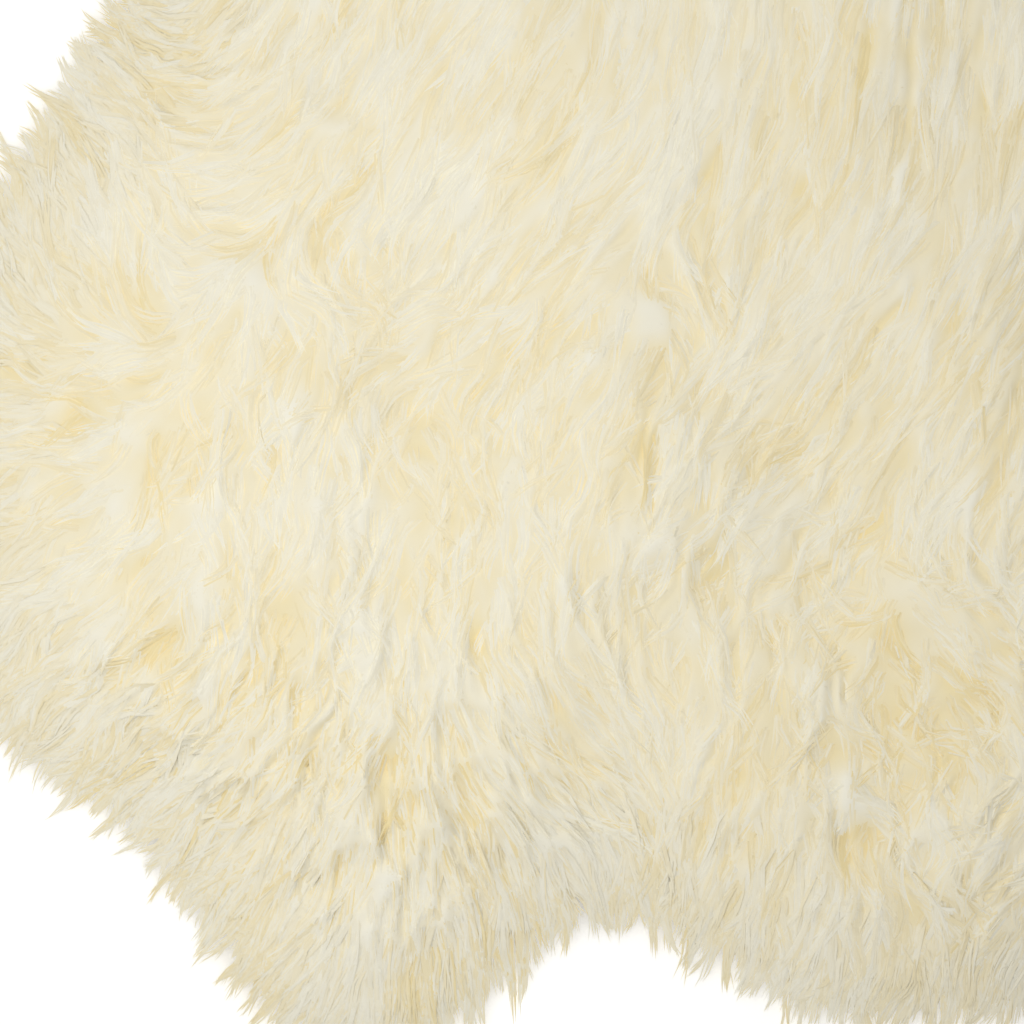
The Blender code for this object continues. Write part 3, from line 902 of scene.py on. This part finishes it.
def wool_material():
    """Fine wool: fibres along each lock, warmer at the root and in the warmer stripes. The root's
    warmth is partly the wool's own, partly painted warm shade deep in the wool; the lower fibres are
    painted a little darker, as painted shade between them.
    """
    material, shader, nodes = new_material("wool_strands")
    uv = nodes.add("ShaderNodeUVMap", uv_map="OFBake")
    split = nodes.add("ShaderNodeSeparateXYZ")
    nodes.join(uv.outputs["UV"], split.inputs[0])
    stripes = nodes.math("MULTIPLY", split.outputs["X"], float(TONES))
    stripe = nodes.math("FLOOR", stripes)
    across = nodes.math("FRACT", stripes)
    warmth = nodes.math("DIVIDE", stripe, TONES - 1.0)
    tone = nodes.ramp(warmth, (0.0, WHITE_WOOL), (1.0, CREAM_WOOL))
    # painted warm shade: partly the root wool's own colour, partly the shade deep in the wool
    root = nodes.ramp(split.outputs["Y"], (0.0, (0.98, 0.92, 0.78)), (0.55, (1.0, 1.0, 1.0)))
    place = nodes.add("ShaderNodeCombineXYZ")
    beside = nodes.math("MULTIPLY", across, FIBRES_ACROSS)
    apart = nodes.math("MULTIPLY", stripe, FIBRE_STEP)
    nodes.join(nodes.math("ADD", beside, apart), place.inputs[0])
    nodes.join(nodes.math("MULTIPLY", split.outputs["Y"], FIBRES_ALONG), place.inputs[1])
    fibres = nodes.noise(place.outputs[0], 1.0, 3.0)
    # painted shade: fibres that the bump makes lower are painted darker and warmer
    fine = nodes.ramp(fibres, (0.3, (0.955, 0.940, 0.900)), (0.65, (1.0, 1.0, 1.0)))
    colour = nodes.multiply(nodes.multiply(tone, root), fine)
    nodes.join(colour, shader.inputs["Base Color"])
    soft_sheen(shader)
    bump = nodes.add("ShaderNodeBump")
    set_inputs(bump, {"Strength": 0.6, "Distance": 0.0002})
    nodes.join(fibres, bump.inputs["Height"])
    nodes.join(bump.outputs[0], shader.inputs["Normal"])
    return material


def mass_material():
    """The mass of wool: its warmth, with painted light and shade from the ridges and pockets, is set
    at each point of the mesh.
    """
    material, shader, nodes = new_material("wool_mass")
    warmth = nodes.add("ShaderNodeAttribute", attribute_name="warmth")
    tone = nodes.ramp(warmth.outputs["Fac"], (0.0, WHITE_WOOL), (1.0, CREAM_WOOL))
    nodes.join(tone, shader.inputs["Base Color"])
    soft_sheen(shader)
    return material


def hide_material():
    """Pale suede, the skin's own underside."""
    material, shader, nodes = new_material("hide_suede")
    coordinates = nodes.add("ShaderNodeTexCoord")
    spots = nodes.noise(coordinates.outputs["Object"], 22.0, 8.0)
    colour = nodes.ramp(spots, (0.0, (0.66, 0.55, 0.40)), (1.0, (0.80, 0.70, 0.55)))
    nodes.join(colour, shader.inputs["Base Color"])
    set_inputs(shader, {"Roughness": 0.9})
    return material


# --- Pieces ---


def placed(name, data, place=(0.0, 0.0, 0.0)):
    """An object in the scene."""
    obj = bpy.data.objects.new(name, data)
    obj.location = place
    bpy.context.collection.objects.link(obj)
    return obj


def add_object(name, mesh, material):
    """A mesh in the scene with one material."""
    mesh.materials.append(material)
    return placed(name, mesh)


def part_of_pelt(obj):
    """The piece goes with the pelt's node and stands for it."""
    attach(obj, "root")
    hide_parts("pelt")
    return obj


def in_order(locks):
    """The numbers of the locks, from the tail to the neck."""
    return np.argsort(locks.y[MIDDLE])


def wool_pieces(mass):
    """All the locks and their fine strands, in pieces from the tail to the neck."""
    rng = np.random.default_rng(SEED)
    material = wool_material()
    tufts = Tufts(mass.ground, TUFT_SPACING)
    wisps = Tufts(mass.ground, WISP_SPACING)
    fill = Locks(mass, wisps, FILL, rng)
    crest = Locks(mass, tufts, CREST, rng)
    fringe = Locks(mass, wisps, FRINGE, rng)
    rim = [
        lock_mesh("wool_fill", fill, 1.0, rng),
        lock_mesh("wool_crest", crest, BODY_WIDTH, rng),
        strand_mesh("wool_fringe", fringe, in_order(fringe), rng),
    ]
    strands = [
        strand_mesh(f"wool_strands_{i + 1}", crest, chosen, rng)
        for i, chosen in enumerate(np.array_split(in_order(crest), STRAND_PIECES))
    ]
    pieces = [add_object(mesh.name, mesh, material) for mesh in rim + strands]
    for piece in pieces[len(rim) :]:
        piece.visible_shadow = False  # light passes through strands as fine as these
    return pieces


def corners_of(grid):
    """The four corners of each of the grid's squares."""
    return grid[:-1, :-1], grid[:-1, 1:], grid[1:, 1:], grid[1:, :-1]


def squares_on(solid):
    """The grid points that whole squares of the solid ones use, which of those squares there are,
    and the four corners of each as numbers of the points used."""
    cells = np.logical_and.reduce(corners_of(solid))
    used = np.zeros(solid.shape, bool)
    for corner in corners_of(used):
        corner |= cells
    index = -np.ones(solid.shape, int)
    index[used] = np.arange(used.sum())
    return used, cells, np.stack([corner[cells] for corner in corners_of(index)], axis=1)


def open_edges(quads):
    """The edges that only one of the quads has, each as (from, to) in that quad's turn."""
    edges = {}
    for quad in quads.tolist():
        for p, q in zip(quad, quad[1:] + quad[:1]):
            if (q, p) in edges:
                del edges[(q, p)]
            else:
                edges[(p, q)] = True
    return list(edges)


def hide(ground):
    """The skin itself, a closed sheet that lies flat on the floor."""
    columns = np.arange(ground.low[0], ground.high[0], HIDE_CELL)
    rows = np.arange(ground.low[1], ground.high[1], HIDE_CELL)
    x, y = np.meshgrid(columns, rows)
    used, _, upper = squares_on(ground.sample(ground.inward, x, y) > HIDE_MARGIN)
    px, py = x[used], y[used]
    top = np.stack([px, py, np.full_like(px, SKIN_THICKNESS)], axis=1)
    bottom = np.stack([px, py, np.zeros_like(px)], axis=1)
    count = len(px)
    lower = upper[:, ::-1] + count
    walls = [(q, p, p + count, q + count) for p, q in open_edges(upper)]
    mesh = bpy.data.meshes.new("hide")
    points = np.concatenate([top, bottom]).tolist()
    mesh.from_pydata(points, [], upper.tolist() + lower.tolist() + walls)
    mesh.shade_smooth()
    return add_object("hide", mesh, hide_material())


def graded(low, high, near):
    """Places from low to high, close together near the middle of the view."""
    before = np.arange(low, near - NEAR_REACH, FAR_CELL)
    close = np.arange(near - NEAR_REACH, near + NEAR_REACH, FINE_CELL)
    after = np.arange(near + NEAR_REACH, high, FAR_CELL)
    return np.concatenate([before, close, after])


def mass_pieces(mass):
    """The mass of wool, in pieces from the tail to the neck."""
    material = mass_material()
    ground = mass.ground
    columns = graded(ground.low[0], ground.high[0], VIEW_CENTRE[0])
    rows = graded(ground.low[1], ground.high[1], VIEW_CENTRE[1])
    pieces = []
    starts = np.linspace(0, len(rows) - 1, MASS_PIECES + 1).astype(int)
    for i, (start, end) in enumerate(zip(starts, starts[1:])):
        x, y = np.meshgrid(columns, rows[start : end + 1])
        mesh = surface_mesh(f"wool_mass_{i + 1}", mass, x, y)
        pieces.append(add_object(mesh.name, mesh, material))
    return pieces


def surface_mesh(name, mass, x, y):
    """The part of the mass's surface that lies on that grid and inside the rim."""
    ground = mass.ground
    inward = ground.sample(ground.inward, x, y)
    used, cells, quads = squares_on(inward > MASS_MARGIN)
    px, py = x[used], y[used]
    depth = ground.sample(ground.depth, px, py) + mass.sample(mass.relief, px, py)
    whole = np.zeros(x.shape, bool)
    whole[1:-1, 1:-1] = np.logical_and.reduce(corners_of(cells))
    at_edge = ~whole & (inward < 3.0 * FAR_CELL)
    share = np.where(at_edge, 0.0, eased((inward + HIDE_MARGIN) / MASS_EDGE))[used]
    pz = SKIN_THICKNESS + (depth - SKIN_THICKNESS - MASS_GAP) * share
    points = np.stack([px, py, pz], axis=1)
    mesh = mesh_of(name, points, quads.ravel(), np.arange(0, quads.size, 4))
    # warmth holds painted light and shade from the ridges and painted warm shade in the pockets
    warmth = mesh.attributes.new("warmth", "FLOAT", "POINT")
    tone = MASS_WARMTH_AND_SHADE + mass.sample(mass.warmth, px, py)
    warmth.data.foreach_set("value", np.clip(tone, 0.0, 1.0).astype(np.float32))
    normals = mass.outward(px, py)
    normals /= np.linalg.norm(normals, axis=1, keepdims=True)
    return shaded(mesh, normals.astype(np.float32))


# --- Floor, light and camera ---

FLOOR_HALF = 30.0
FLOOR_DROP = 0.0002  # below the pelt, so that the two faces don't meet
FLOOR_GLOW = 0.3
LAMP_SIZE = 0.9
WORLD_LIGHT = 0.41


def studio():
    """A plain white floor, soft light all round and a soft key light from the upper left."""
    mesh = bpy.data.meshes.new("floor")
    corners = [(-1, -1), (1, -1), (1, 1), (-1, 1)]
    points = [(FLOOR_HALF * x, FLOOR_HALF * y, 0.0) for x, y in corners]
    mesh.from_pydata(points, [], [(0, 1, 2, 3)])
    material, shader, _ = new_material("white_floor")
    set_inputs(shader, {"Base Color": (0.95, 0.95, 0.95, 1.0), "Roughness": 0.9})
    set_inputs(shader, {"Emission Color": (1.0, 1.0, 1.0, 1.0), "Emission Strength": FLOOR_GLOW})
    floor = add_object("floor", mesh, material)
    floor.location.z = -FLOOR_DROP

    world = bpy.data.worlds.new("studio")
    world.use_nodes = True
    background = world.node_tree.nodes["Background"]
    set_inputs(background, {"Color": (1.0, 0.975, 0.925, 1.0), "Strength": WORLD_LIGHT})
    bpy.context.scene.world = world

    softbox("key", (-0.36, -0.32, 0.58), 2.9)
    softbox("fill", (0.55, 0.75, 0.90), 1.0)


def softbox(name, place, power):
    """A square lamp that faces straight down on the floor."""
    lamp = bpy.data.lights.new(name, "AREA")
    lamp.size = LAMP_SIZE
    lamp.energy = power
    lamp.color = (1.0, 0.988, 0.962)
    placed(name, lamp, place)


def camera():
    """Looks straight down on the hind left quarter."""
    data = bpy.data.cameras.new("camera")
    data.sensor_width = SENSOR
    data.lens = SENSOR * (CAMERA_HEIGHT - VIEW_LEVEL) / VIEW_WIDTH
    bpy.context.scene.camera = placed("camera", data, (*VIEW_CENTRE, CAMERA_HEIGHT))


def main():
    """The dressed pelt in its studio."""
    ground = Ground(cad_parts["pelt"])
    skin = part_of_pelt(hide(ground))
    mass = Mass(ground)
    wool = [part_of_pelt(piece) for piece in mass_pieces(mass) + wool_pieces(mass)]
    studio()
    camera()
    bpy.context.scene.view_settings.view_transform = "Standard"


main()
